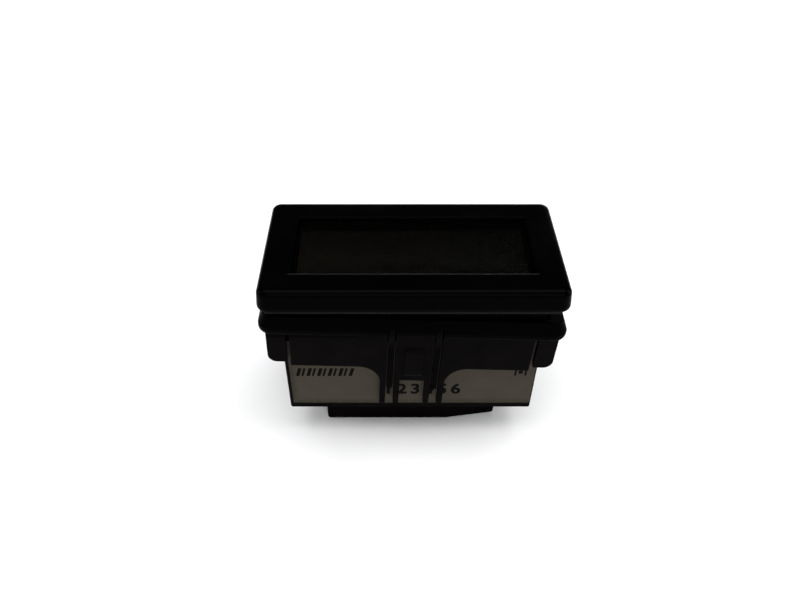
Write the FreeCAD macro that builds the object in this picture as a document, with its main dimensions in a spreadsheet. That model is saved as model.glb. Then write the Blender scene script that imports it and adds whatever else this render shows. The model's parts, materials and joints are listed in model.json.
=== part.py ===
# Panel-mount LCD counter module, 48 x 24 mm face, with its mounting clip.
# Frame: X along the long side of the face, Y across it, Z up. The module stands on its
# terminal block with the display facing up; the origin is below the face's centre.
import FreeCAD, Part
import Sketcher
import os

# ---------------------------------------------------------------- driving dimensions (mm)
SIZES = {
    "total_height": 35.7, "cut_margin": 0.2,
    "bezel_long": 48.0, "bezel_wide": 24.3, "bezel_thick": 4.2, "bezel_draft": 4.5,
    "bezel_corner": 1.6, "bezel_round": 1.1, "bezel_under_round": 1.0,
    "window_long": 38.0, "window_wide": 14.5, "window_lip": 1.5, "window_round": 0.3,
    "skirt_wall_x": 0.6, "skirt_wall_y": 1.05, "skirt_drop": 2.4,
    "lug_long": 6.0, "lug_tall": 1.0, "lug_proud": 0.6, "lug_gap": 0.1, "lug_down": 1.2,
    "lens_sink": 0.3, "lens_thick": 1.8, "lens_flange": 0.6, "lens_gap": 0.1,
    "mask_thick": 0.1, "view_long": 36.4, "view_wide": 12.2,
    "film_thick": 0.15, "glass_thick": 0.55, "glass_long": 38.3, "glass_wide": 16.0,
    "rear_glass_wide": 13.0, "film_long": 37.4, "film_wide": 12.8,
    "strip_long": 36.6, "strip_wide": 0.9, "strip_out": 6.8, "holder_ledge": 1.0,
    "gasket_thick": 0.7, "gasket_inset": 1.0, "gasket_gap": 0.15,
    "case_long": 42.0, "case_wide": 20.8, "case_wall": 1.1, "case_corner": 0.5,
    "case_bottom": 8.5, "post_side": 1.6, "post_low": 20.0, "slip": 0.1,
    "board_thick": 1.2, "display_board_long": 39.6, "display_board_wide": 18.0,
    "terminal_board_low": 9.1, "terminal_board_long": 37.8, "terminal_board_wide": 18.0,
    "cover_thick": 1.4, "cover_rim": 0.8, "cover_tab_high": 12.6, "cover_tab_thick": 0.9,
    "cover_gap": 0.1, "cover_lug_down": 0.4,
    "label_long": 41.0, "label_shift": 0.15, "label_low": 8.9, "label_high": 24.2,
    "label_thick": 0.12,
    "cell_radius": 7.25, "cell_long": 25.0, "cell_left": -8.5, "cell_axis_high": 18.95,
    "cell_crimp": 0.6, "cell_nub_radius": 2.4, "cell_nub_long": 0.8,
    "tab_thick": 0.2, "tab_wide": 5.0, "tab_foot": 1.6,
    "saddle_wide": 2.4, "saddle_gap": 0.1, "saddle_half": 6.2, "saddle_high": 14.6,
    "saddle_left": -6.4, "saddle_right": 9.0, "rail_wide": 1.2, "rail_tall": 1.6,
    "way_pitch": 5.08, "way_count": 6.0, "way_axis_y": -1.0,
    "block_long": 30.9, "block_shift": 0.35, "block_front": -6.95, "block_back": 5.0,
    "block_high": 9.1, "block_end_set_back": 1.4, "block_end_long": 9.0, "block_round": 0.5,
    "cage_long": 3.9, "cage_deep": 3.8, "cage_wall": 0.65, "cage_floor": 0.7,
    "cage_low": 3.75, "cage_high": 8.0, "cavity_gap": 0.1,
    "cavity_low": 1.7, "screw_hole_radius": 1.4, "head_pocket_low": 0.5,
    "head_pocket_radius": 1.85, "head_radius": 1.75, "head_chamfer": 0.25, "head_low": 0.55,
    "head_top": 1.6, "shank_radius": 1.0, "shank_chamfer": 0.3, "shank_top": 4.3,
    "thread_gap": 0.05, "slot_wide": 0.5, "slot_deep": 0.5,
    "bar_wide": 2.0, "bar_low": 4.5, "bar_thick": 0.7, "bar_back": -5.0, "bar_front": 0.8,
    "pin_wide": 1.0, "pin_thick": 0.6, "pin_inset": 0.2, "pin_top": 11.6, "pin_hole_radius": 0.65,
    "entry_wide": 3.2, "entry_low": 5.1, "entry_high": 7.3, "entry_deep": 4.5,
    "link_count": 6.0, "link_pin_side": 0.5, "link_pin_x": -17.6, "link_pin_pitch": 2.54,
    "link_pin_top": 28.7, "link_hole_radius": 0.4,
    "solder_gap": 0.1, "chip_x": 1.0, "chip_wide": 8.0, "chip_long": 10.0, "chip_thick": 1.3,
    "lead_count": 7.0, "lead_wide": 0.4, "lead_thick": 0.15, "lead_pitch": 1.0, "lead_out": 1.0,
    "lead_foot": 0.6,
    "crystal_radius": 1.0, "crystal_long": 6.0, "crystal_x": -4.5, "crystal_y": -8.0,
    "small_long": 1.6, "small_wide": 0.8,
    "capacitor_count": 6.0, "capacitor_left": -5.0, "capacitor_pitch": 2.6, "capacitor_y": 7.4,
    "capacitor_tall": 0.8,
    "resistor_count": 7.0, "resistor_left": 3.0, "resistor_pitch": 2.2, "resistor_y": -8.6,
    "resistor_tall": 0.45,
    "clip_top": 29.85, "clip_flare_high": 27.8, "clip_collar_low": 26.4, "clip_flare": 21.0,
    "clip_tilt": 2.0, "clip_long": 48.5, "clip_wide": 24.8,
    "clip_gap": 0.42, "clip_corner": 2.2, "clip_top_round": 0.3, "clip_low_round": 0.9,
    "apron_face": 11.7, "apron_half": 19.4, "apron_low": 19.2, "clip_slit": 0.6,
    "end_wall_face": 23.05, "end_wall_low": 20.0, "end_wall_round": 1.5,
    "leg_shift": 0.5, "leg_half": 5.35, "leg_low": 10.2, "leg_round": 3.7, "bridge_half": 2.1,
    "bridge_low": 16.1, "prong_wide": 0.95, "channel_top": 28.2, "tongue_gap": 0.2,
    "tongue_root": 0.55, "tongue_ramp_low": 23.4, "tongue_tip": 13.3, "tongue_face": 11.25,
    "tongue_thick": 0.45, "tongue_nose": 10.6, "tongue_nose_tall": 1.0, "tongue_chamfer": 0.3,
    "pad_half": 1.5, "pad_high": 24.0, "pad_low": 17.2, "pad_proud": 0.35, "pad_ramp": 0.8,
}

doc = FreeCAD.newDocument("counter_module")
sheet = doc.addObject("Spreadsheet::Sheet", "Sizes")
for row, (name, value) in enumerate(SIZES.items(), start=1):
    sheet.set(f"A{row}", name)
    sheet.set(f"B{row}", str(value))
    sheet.setAlias(f"B{row}", name)
doc.recompute()


class Size:
    """A length that holds its value and its formula in the sheet."""

    def __init__(self, value, formula):
        self.value = value
        self.formula = formula

    def __add__(self, other):
        other = as_size(other)
        return Size(self.value + other.value, f"({self.formula} + {other.formula})")

    def __sub__(self, other):
        other = as_size(other)
        return Size(self.value - other.value, f"({self.formula} - {other.formula})")

    def __mul__(self, number):
        return Size(self.value * number, f"({self.formula} * {number})")

    def __truediv__(self, number):
        return Size(self.value / number, f"({self.formula} / {number})")

    def __neg__(self):
        return Size(-self.value, f"(0 - {self.formula})")

    __rmul__ = __mul__


def as_size(value):
    """Gives a plain number the form of a Size."""
    if isinstance(value, Size):
        return value
    return Size(float(value), f"({float(value)})")


def d(name):
    """The named cell of the sheet, as a Size."""
    return Size(SIZES[name], f"Sizes.{name}")


PARTS = {}


def keep(item, label):
    """Registers an object as a sub-part and labels it with its node name."""
    item.Label = label
    PARTS[label] = item
    return item


# ---------------------------------------------------------------- drawing helpers
def origin_plane(body, role):
    return next(item for item in body.Origin.OriginFeatures if item.Role == role)


def new_sketch(body, name, role, offset=0.0):
    """A sketch on one of the body's own origin planes, moved along its normal."""
    sketch = body.newObject("Sketcher::SketchObject", f"{body.Name}_{name}")
    sketch.AttachmentSupport = [(origin_plane(body, role), "")]
    sketch.MapMode = "FlatFace"
    sketch.setExpression("AttachmentOffset.Base.z", as_size(offset).formula)
    return sketch


def constrain(sketch, kind, *references, size):
    """Adds a sized constraint and binds it to its formula."""
    index = sketch.addConstraint(Sketcher.Constraint(kind, *references, size.value))
    sketch.setExpression(f"Constraints[{index}]", size.formula)


def draw_outline(sketch, corners):
    """A closed outline of straight lines; every corner is tied to the sketch's origin."""
    corners = [(as_size(x), as_size(y)) for x, y in corners]
    points = [FreeCAD.Vector(x.value, y.value, 0) for x, y in corners]
    first = sketch.GeometryCount
    count = len(corners)
    for i in range(count):
        sketch.addGeometry(Part.LineSegment(points[i], points[(i + 1) % count]), False)
    for i in range(count):
        after = first + (i + 1) % count
        sketch.addConstraint(Sketcher.Constraint("Coincident", first + i, 2, after, 1))
    for i, (x, y) in enumerate(corners):
        constrain(sketch, "DistanceX", -1, 1, first + i, 1, size=x)
        constrain(sketch, "DistanceY", -1, 1, first + i, 1, size=y)


def draw_rectangle(sketch, low, high):
    """A rectangle between two opposite corners."""
    draw_outline(sketch, [(low[0], low[1]), (high[0], low[1]), (high[0], high[1]), (low[0], high[1])])


def draw_centred(sketch, long, wide):
    """A rectangle centred on the sketch's origin."""
    draw_rectangle(sketch, (long / -2, wide / -2), (long / 2, wide / 2))


def draw_circle(sketch, x, y, radius):
    x, y, radius = as_size(x), as_size(y), as_size(radius)
    centre = FreeCAD.Vector(x.value, y.value, 0)
    up = FreeCAD.Vector(0, 0, 1)
    index = sketch.addGeometry(Part.Circle(centre, up, radius.value), False)
    constrain(sketch, "DistanceX", -1, 1, index, 3, size=x)
    constrain(sketch, "DistanceY", -1, 1, index, 3, size=y)
    constrain(sketch, "Radius", index, size=radius)


# ---------------------------------------------------------------- feature helpers
def new_body(label):
    return keep(doc.addObject("PartDesign::Body", label), label)


def pad(body, sketch, length, draft=None):
    """Raises a sketch; a draft in degrees narrows it as it rises."""
    feature = body.newObject("PartDesign::Pad", f"{sketch.Name}_pad")
    feature.Profile = sketch
    feature.setExpression("Length", as_size(length).formula)
    if draft:
        feature.setExpression("TaperAngle", (-draft).formula)
    doc.recompute()
    return feature


def pocket(body, sketch, length, reverse=False, both_ways=False):
    """A cut against the sketch's normal, or along it when reversed; it must remove material."""
    before = body.Shape.Volume
    feature = body.newObject("PartDesign::Pocket", f"{sketch.Name}_pocket")
    feature.Profile = sketch
    feature.Reversed = reverse
    feature.Midplane = both_ways
    feature.setExpression("Length", as_size(length).formula)
    doc.recompute()
    if body.Shape.Volume >= before - 1e-6:
        raise RuntimeError(f"{feature.Name} cuts nothing")
    return feature


def round_edges(body, name, radius, wanted):
    """Rounds the edges of the body's tip whose midpoint and direction pass the test."""
    base = body.Tip
    names = []
    for index, edge in enumerate(base.Shape.Edges, start=1):
        middle = edge.valueAt((edge.FirstParameter + edge.LastParameter) / 2)
        along = edge.tangentAt((edge.FirstParameter + edge.LastParameter) / 2)
        if wanted(middle, along):
            names.append(f"Edge{index}")
    if not names:
        raise RuntimeError(f"{name}: no edge to round")
    feature = body.newObject("PartDesign::Fillet", f"{body.Name}_{name}")
    feature.Base = (base, names)
    feature.setExpression("Radius", as_size(radius).formula)
    doc.recompute()
    return feature


def revolve(body, sketch):
    feature = body.newObject("PartDesign::Revolution", f"{sketch.Name}_turn")
    feature.Profile = sketch
    feature.ReferenceAxis = (sketch, ["V_Axis"])
    feature.Angle = 360
    doc.recompute()
    return feature


def place(item, x=0.0, y=0.0, z=0.0):
    for axis, value in zip("xyz", (x, y, z)):
        item.setExpression(f".Placement.Base.{axis}", as_size(value).formula)


def lean(item, angle, pivot_high):
    """Turns an item about a line along Y at a height on the Z axis, so that its +X end drops."""
    item.Placement.Rotation = FreeCAD.Rotation(FreeCAD.Vector(0, 1, 0), angle.value)
    item.setExpression(".Placement.Rotation.Angle", angle.formula)
    item.setExpression(".Placement.Base.x", f"0 - {pivot_high.formula} * sin({angle.formula})")
    item.setExpression(".Placement.Base.z", f"{pivot_high.formula} * (1 - cos({angle.formula}))")


def near(value, target, slack=0.01):
    return abs(value - as_size(target).value) < slack


def new_box(name, size, low):
    """A Part box given by its three sizes and its lowest corner."""
    item = doc.addObject("Part::Box", name)
    for prop, value in zip(("Length", "Width", "Height"), size):
        item.setExpression(prop, as_size(value).formula)
    place(item, *low)
    return item


def plate(label, long, wide, thick, low):
    """A flat rectangular piece centred on the Z axis, with its underside at low."""
    return keep(new_box(label, (long, wide, thick), (long / -2, wide / -2, low)), label)


def group(label, items):
    """Several separate solids that share one node."""
    bundle = doc.addObject("Part::Compound", label)
    bundle.Links = items
    return keep(bundle, label)


def drilled(label, blank, drills):
    """A Part blank with holes cut through it."""
    holes = doc.addObject("Part::Compound", f"{label}_holes")
    holes.Links = drills
    cut = doc.addObject("Part::Cut", label)
    cut.Base = blank
    cut.Tool = holes
    return keep(cut, label)


def drill(name, radius, x, y, low, deep):
    hole = doc.addObject("Part::Cylinder", name)
    hole.setExpression("Radius", as_size(radius).formula)
    hole.setExpression("Height", as_size(deep).formula)
    place(hole, x, y, low)
    return hole


# ---------------------------------------------------------------- shared levels and places
bezel_rear = d("total_height") - d("bezel_thick")
window_floor = d("total_height") - d("window_lip")
case_in_long = d("case_long") - 2 * d("case_wall")
case_in_wide = d("case_wide") - 2 * d("case_wall")
pocket_long = case_in_long - d("slip") - 2 * d("skirt_wall_x")
pocket_wide = case_in_wide - d("slip") - 2 * d("skirt_wall_y")
skirt_low = bezel_rear - d("skirt_drop")
lug_high = bezel_rear - d("lug_down")
lens_bottom = d("total_height") - d("lens_sink") - d("lens_thick")
mask_low = lens_bottom - d("mask_thick")
front_film_low = mask_low - d("film_thick")
front_glass_low = front_film_low - d("glass_thick")
rear_glass_low = front_glass_low - d("glass_thick")
rear_film_low = rear_glass_low - d("film_thick")
display_board_low = skirt_low - d("board_thick")
terminal_board_top = d("terminal_board_low") + d("board_thick")
cell_right = d("cell_left") + d("cell_long")
pin_front = d("bar_back") + d("pin_inset")


def way_x(index):
    """The X position of a terminal way, counted from 0 at the left."""
    return d("way_pitch") * (index - (SIZES["way_count"] - 1) / 2)


def row(name):
    """The numbers of the pieces in a row, counted from 0."""
    return range(int(SIZES[name]))


def link_y(index):
    """The Y position of a link pin, counted from 0 at the front."""
    return d("link_pin_pitch") * (index - (SIZES["link_count"] - 1) / 2)


# ---------------------------------------------------------------- front: bezel, lens, mask, seal
def make_front_bezel():
    """The front frame: a rounded plate with a window, and a skirt with two snap lugs."""
    body = new_body("front_bezel")
    plan = new_sketch(body, "plan", "XY_Plane", bezel_rear)
    draw_centred(plan, d("bezel_long"), d("bezel_wide"))
    pad(body, plan, d("bezel_thick"), draft=d("bezel_draft"))
    round_edges(body, "corners", d("bezel_corner"), lambda at, way: abs(way.z) > 0.9)
    round_edges(body, "front_round", d("bezel_round"), lambda at, way: near(at.z, d("total_height")))
    round_edges(body, "rear_round", d("bezel_under_round"), lambda at, way: near(at.z, bezel_rear))
    skirt = new_sketch(body, "skirt", "XY_Plane", skirt_low)
    draw_centred(skirt, case_in_long - d("slip"), case_in_wide - d("slip"))
    pad(body, skirt, d("skirt_drop"))
    lugs = new_sketch(body, "lugs", "XY_Plane", lug_high - d("lug_tall"))
    reach = case_in_long / 2 + d("lug_proud")
    draw_rectangle(lugs, (-reach, d("lug_long") / -2), (reach, d("lug_long") / 2))
    pad(body, lugs, d("lug_tall"))
    hollow = new_sketch(body, "hollow", "XY_Plane", skirt_low)
    draw_centred(hollow, pocket_long, pocket_wide)
    pocket(body, hollow, window_floor - skirt_low, reverse=True)
    window = new_sketch(body, "window", "XY_Plane", d("total_height"))
    draw_centred(window, d("window_long"), d("window_wide"))
    pocket(body, window, d("window_lip") + d("cut_margin"))
    inside_x = SIZES["window_long"] / 2 + SIZES["cut_margin"]
    inside_y = SIZES["window_wide"] / 2 + SIZES["cut_margin"]
    round_edges(
        body, "window_round", d("window_round"),
        lambda at, way: near(at.z, d("total_height")) and abs(at.x) < inside_x
        and abs(at.y) < inside_y,
    )


def make_display_lens():
    """The clear window: a plate with a thinner flange that sits behind the window's lip."""
    body = new_body("display_lens")
    flange = new_sketch(body, "flange", "XY_Plane", lens_bottom)
    draw_centred(flange, pocket_long - 2 * d("lens_gap"), pocket_wide - 2 * d("lens_gap"))
    pad(body, flange, d("lens_flange"))
    face = new_sketch(body, "face", "XY_Plane", lens_bottom)
    draw_centred(face, d("window_long") - 2 * d("lens_gap"), d("window_wide") - 2 * d("lens_gap"))
    pad(body, face, d("lens_thick"))


def frame_plate(label, outer, inner, thick, low):
    """A flat rectangular ring."""
    body = new_body(label)
    plan = new_sketch(body, "plan", "XY_Plane", low)
    draw_centred(plan, *outer)
    draw_centred(plan, *inner)
    pad(body, plan, thick)
    return body


def make_seal_and_mask():
    frame_plate(
        "window_mask", (pocket_long - 2 * d("lens_gap"), pocket_wide - 2 * d("lens_gap")),
        (d("view_long"), d("view_wide")), d("mask_thick"), mask_low,
    )
    gasket = frame_plate(
        "panel_gasket",
        (d("bezel_long") - 2 * d("gasket_inset"), d("bezel_wide") - 2 * d("gasket_inset")),
        (d("case_long") + 2 * d("gasket_gap"), d("case_wide") + 2 * d("gasket_gap")),
        d("gasket_thick"), bezel_rear - d("gasket_thick"),
    )
    round_edges(
        gasket, "corners", d("bezel_corner") - d("gasket_inset"),
        lambda at, way: abs(way.z) > 0.9 and abs(at.x) > SIZES["case_long"] / 2 + 1,
    )


# ---------------------------------------------------------------- liquid crystal display
def make_display():
    plate("lcd_front_polariser", d("film_long"), d("film_wide"), d("film_thick"), front_film_low)
    plate("lcd_front_glass", d("glass_long"), d("glass_wide"), d("glass_thick"), front_glass_low)
    plate("lcd_rear_glass", d("glass_long"), d("rear_glass_wide"), d("glass_thick"), rear_glass_low)
    plate("lcd_rear_polariser", d("film_long"), d("film_wide"), d("film_thick"), rear_film_low)
    for name, side in (("front", -1), ("back", 1)):
        label = f"zebra_strip_{name}"
        low_y = d("strip_out") * side
        if side < 0:
            low_y = low_y - d("strip_wide")
        size = (d("strip_long"), d("strip_wide"), front_glass_low - skirt_low)
        corner = (d("strip_long") / -2, low_y, skirt_low)
        keep(new_box(label, size, corner), label)


def make_lcd_holder():
    """The frame that carries the glass on the board and guides the two contact strips."""
    body = new_body("lcd_holder")
    plan = new_sketch(body, "plan", "XY_Plane", skirt_low)
    draw_centred(plan, pocket_long - d("slip"), pocket_wide - d("slip"))
    ledge = 2 * d("holder_ledge")
    draw_centred(plan, d("film_long") - ledge, d("film_wide") - ledge)
    for side in (-1, 1):
        near_y = d("strip_out") * side
        far_y = (d("strip_out") + d("strip_wide")) * side
        draw_rectangle(plan, (d("strip_long") / -2, near_y), (d("strip_long") / 2, far_y))
    pad(body, plan, rear_film_low - skirt_low)


# ---------------------------------------------------------------- display board and what it carries
def make_display_board():
    blank = new_box(
        "display_board_blank",
        (d("display_board_long"), d("display_board_wide"), d("board_thick")),
        (d("display_board_long") / -2, d("display_board_wide") / -2, display_board_low),
    )
    drills = []
    for index in row("link_count"):
        drills.append(drill(
            f"display_hole_{index}", d("link_hole_radius"), d("link_pin_x"), link_y(index),
            display_board_low - d("cut_margin"), d("board_thick") + 2 * d("cut_margin"),
        ))
    drilled("display_board", blank, drills)


def make_chip():
    """The counter's integrated circuit, under the board, with two rows of formed leads."""
    body = new_body("counter_chip")
    top = display_board_low - d("solder_gap")
    plan = new_sketch(body, "plan", "XY_Plane", top - d("chip_thick"))
    half_x, half_y = d("chip_wide") / 2, d("chip_long") / 2
    draw_rectangle(plan, (d("chip_x") - half_x, -half_y), (d("chip_x") + half_x, half_y))
    pad(body, plan, d("chip_thick"))
    leads = []
    middle = top - d("chip_thick") / 2
    tip_y = half_y + d("lead_out")
    for side, root_y, foot_y in (("front", -tip_y, -tip_y - d("lead_foot")), ("back", half_y, tip_y)):
        for index in row("lead_count"):
            step = index - (SIZES["lead_count"] - 1) / 2
            x = d("chip_x") + d("lead_pitch") * step - d("lead_wide") / 2
            arm = new_box(
                f"lead_arm_{side}_{index}",
                (d("lead_wide"), d("lead_out"), d("lead_thick")), (x, root_y, middle),
            )
            foot = new_box(
                f"lead_foot_{side}_{index}",
                (d("lead_wide"), d("lead_foot"), display_board_low - middle), (x, foot_y, middle),
            )
            lead = doc.addObject("Part::Fuse", f"lead_{side}_{index}")
            lead.Base = arm
            lead.Tool = foot
            leads.append(lead)
    group("chip_leads", leads)


def small_row(label, name):
    """A row of chip components hanging under the display board."""
    items = []
    tall = d(f"{name}_tall")
    for index in row(f"{name}_count"):
        left = d(f"{name}_left") + d(f"{name}_pitch") * index
        items.append(new_box(
            f"{name}_{index}", (d("small_long"), d("small_wide"), tall),
            (left, d(f"{name}_y"), display_board_low - tall),
        ))
    group(label, items)


def make_small_components():
    """Clock crystal, chip capacitors and chip resistors, all on the board's underside."""
    can = doc.addObject("Part::Cylinder", "crystal_can")
    can.setExpression("Radius", d("crystal_radius").formula)
    can.setExpression("Height", d("crystal_long").formula)
    can.Placement.Rotation = FreeCAD.Rotation(FreeCAD.Vector(0, 1, 0), 90)
    axis_high = display_board_low - d("crystal_radius") - d("solder_gap")
    place(can, d("crystal_x"), d("crystal_y"), axis_high)
    keep(can, "clock_crystal")
    small_row("board_capacitors", "capacitor")
    small_row("board_resistors", "resistor")


def make_link_pins():
    """Six pins that carry the signals from the terminal board up to the display board."""
    pins = []
    side = d("link_pin_side")
    low = d("terminal_board_low")
    for index in row("link_count"):
        pins.append(new_box(
            f"link_pin_{index}", (side, side, d("link_pin_top") - low),
            (d("link_pin_x") - side / 2, link_y(index) - side / 2, low),
        ))
    group("board_link_pins", pins)


# ---------------------------------------------------------------- lithium cell and its holders
def make_cell():
    """A half-length cell lying along X: can, crimp step and positive nub."""
    body = new_body("lithium_cell")
    profile = new_sketch(body, "profile", "XZ_Plane")
    radius, long, crimp = d("cell_radius"), d("cell_long"), d("cell_crimp")
    can_long = long - d("cell_nub_long")
    draw_outline(profile, [
        (0, 0), (radius - crimp, 0), (radius, crimp), (radius, can_long - crimp),
        (radius - crimp, can_long), (d("cell_nub_radius"), can_long),
        (d("cell_nub_radius"), long), (0, long),
    ])
    revolve(body, profile)
    body.Placement.Rotation = FreeCAD.Rotation(FreeCAD.Vector(0, 1, 0), 90)
    place(body, d("cell_left"), 0, d("cell_axis_high"))


def make_cell_tab(label, face_x, outward):
    """A welded strip: flat on the cell's end, then up to the board with a small foot."""
    body = new_body(label)
    side = new_sketch(body, "side", "XZ_Plane", d("tab_wide") / -2)
    low = d("cell_axis_high") - d("tab_wide") / 2
    thick = d("tab_thick") * outward
    foot = face_x + thick + d("tab_foot") * outward
    draw_outline(side, [
        (face_x, low), (face_x + thick, low),
        (face_x + thick, display_board_low - d("tab_thick")),
        (foot, display_board_low - d("tab_thick")), (foot, display_board_low),
        (face_x, display_board_low),
    ])
    pad(body, side, d("tab_wide"))


def make_cell_cradle():
    """Two saddles under the cell, joined by rails along the terminal board."""
    body = new_body("cell_cradle")
    saddles = new_sketch(body, "saddles", "XY_Plane", terminal_board_top)
    half = d("saddle_half")
    left, right = d("saddle_left"), d("saddle_right")
    for x in (left, right):
        draw_rectangle(saddles, (x, -half), (x + d("saddle_wide"), half))
    pad(body, saddles, d("saddle_high") - terminal_board_top)
    for side in (-1, 1):
        rail = new_sketch(body, f"rail_{side + 1}", "XY_Plane", terminal_board_top)
        inner = (half - d("rail_wide")) * side
        draw_rectangle(rail, (left, inner), (right + d("saddle_wide"), half * side))
        pad(body, rail, d("rail_tall"))
    seat = new_sketch(body, "seat", "YZ_Plane", left - d("cut_margin"))
    draw_circle(seat, 0, d("cell_axis_high"), d("cell_radius") + d("saddle_gap"))
    seat_long = right - left + d("saddle_wide") + 2 * d("cut_margin")
    pocket(body, seat, seat_long, reverse=True)


# ---------------------------------------------------------------- terminals
def make_terminal_board():
    blank = new_box(
        "terminal_board_blank",
        (d("terminal_board_long"), d("terminal_board_wide"), d("board_thick")),
        (d("terminal_board_long") / -2, d("terminal_board_wide") / -2, d("terminal_board_low")),
    )
    low = d("terminal_board_low") - d("cut_margin")
    deep = d("board_thick") + 2 * d("cut_margin")
    drills = []
    y = pin_front + d("pin_thick") / 2
    for index in row("way_count"):
        drills.append(drill(f"pin_hole_{index}", d("pin_hole_radius"), way_x(index), y, low, deep))
    for index in row("link_count"):
        drills.append(drill(
            f"link_hole_{index}", d("link_hole_radius"), d("link_pin_x"), link_y(index), low, deep,
        ))
    drilled("terminal_board", blank, drills)


def draw_block_outline(sketch, grow):
    """The block's plan, with its front set back at one end, grown by a gap all round."""
    left = d("block_shift") - d("block_long") / 2 - grow
    right = d("block_shift") + d("block_long") / 2 + grow
    front = d("block_front") - grow
    back = d("block_back") + grow
    draw_outline(sketch, [
        (left, front), (right - d("block_end_long"), front),
        (right, front + d("block_end_set_back")), (right, back), (left, back),
    ])


def make_terminal_block():
    """Six ways in one moulding: cage wells from above, driver holes below, wire mouths behind."""
    body = new_body("terminal_block")
    plan = new_sketch(body, "plan", "XY_Plane")
    draw_block_outline(plan, as_size(0))
    pad(body, plan, d("block_high"))
    round_edges(
        body, "edges", d("block_round"),
        lambda at, way: abs(way.z) > 0.9 or (near(at.z, 0) and abs(way.z) < 0.1),
    )
    wells = new_sketch(body, "wells", "XY_Plane", d("block_high"))
    slots = new_sketch(body, "slots", "XY_Plane", d("block_high"))
    heads = new_sketch(body, "heads", "XY_Plane", d("head_pocket_low"))
    drivers = new_sketch(body, "drivers", "XY_Plane")
    mouths = new_sketch(body, "mouths", "XZ_Plane", -d("block_back"))
    gap = d("cavity_gap")
    for index in row("way_count"):
        x = way_x(index)
        half_x = d("cage_long") / 2 + gap
        half_y = d("cage_deep") / 2 + gap
        axis_y = d("way_axis_y")
        draw_rectangle(wells, (x - half_x, axis_y - half_y), (x + half_x, axis_y + half_y))
        draw_rectangle(
            slots, (x - d("bar_wide") / 2, d("bar_back")),
            (x + d("bar_wide") / 2, axis_y - half_y + d("cut_margin")),
        )
        draw_circle(heads, x, axis_y, d("head_pocket_radius"))
        draw_circle(drivers, x, axis_y, d("screw_hole_radius"))
        draw_rectangle(
            mouths, (x - d("entry_wide") / 2, d("entry_low")), (x + d("entry_wide") / 2, d("entry_high")),
        )
    pocket(body, wells, d("block_high") - d("cavity_low"))
    pocket(body, slots, d("block_high") - d("bar_low"))
    pocket(body, heads, d("cavity_low") - d("head_pocket_low") + d("cut_margin"), reverse=True)
    pocket(body, drivers, d("head_pocket_low") + d("cut_margin"), reverse=True)
    pocket(body, mouths, d("entry_deep"), reverse=True)


def make_terminal_pins():
    """The fixed contact bars, each with a solder pin that rises through the board."""
    bars = []
    for index in row("way_count"):
        x = way_x(index)
        bar = new_box(
            f"bar_{index}", (d("bar_wide"), d("bar_front") - d("bar_back"), d("bar_thick")),
            (x - d("bar_wide") / 2, d("bar_back"), d("bar_low")),
        )
        pin = new_box(
            f"pin_{index}", (d("pin_wide"), d("pin_thick"), d("pin_top") - d("bar_low")),
            (x - d("pin_wide") / 2, pin_front, d("bar_low")),
        )
        contact = doc.addObject("Part::Fuse", f"contact_{index}")
        contact.Base = bar
        contact.Tool = pin
        bars.append(contact)
    group("terminal_pins", bars)


def make_cage(index):
    """A rising clamp: a square loop with a threaded floor that the screw draws down."""
    body = new_body(f"terminal_cage_{index + 1}")
    plan = new_sketch(body, "plan", "XY_Plane", d("cage_low"))
    draw_centred(plan, d("cage_long"), d("cage_deep"))
    pad(body, plan, d("cage_high") - d("cage_low"))
    loop = new_sketch(body, "loop", "XZ_Plane")
    half = d("cage_long") / 2 - d("cage_wall")
    draw_rectangle(
        loop, (-half, d("cage_low") + d("cage_floor")), (half, d("cage_high") - d("cage_floor")),
    )
    pocket(body, loop, d("cage_deep") + d("cut_margin"), both_ways=True)
    thread = new_sketch(body, "thread", "XY_Plane", d("cage_low") + d("cage_floor"))
    draw_circle(thread, 0, 0, d("shank_radius") + d("thread_gap"))
    pocket(body, thread, d("cage_floor") + d("cut_margin"))
    place(body, way_x(index), d("way_axis_y"), 0)


def make_screw(index):
    """A captive clamp screw: slotted head below, plain shank up through the cage's floor."""
    body = new_body(f"terminal_screw_{index + 1}")
    profile = new_sketch(body, "profile", "XZ_Plane")
    head, shank = d("head_radius"), d("shank_radius")
    bevel, point = d("head_chamfer"), d("shank_chamfer")
    draw_outline(profile, [
        (0, d("head_low")), (head - bevel, d("head_low")), (head, d("head_low") + bevel),
        (head, d("head_top")), (shank, d("head_top")), (shank, d("shank_top") - point),
        (shank - point, d("shank_top")), (0, d("shank_top")),
    ])
    revolve(body, profile)
    slot = new_sketch(body, "slot", "XY_Plane", d("head_low"))
    reach = head + d("cut_margin")
    draw_rectangle(slot, (-reach, d("slot_wide") / -2), (reach, d("slot_wide") / 2))
    pocket(body, slot, d("slot_deep"), reverse=True)
    place(body, way_x(index), d("way_axis_y"), 0)


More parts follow.
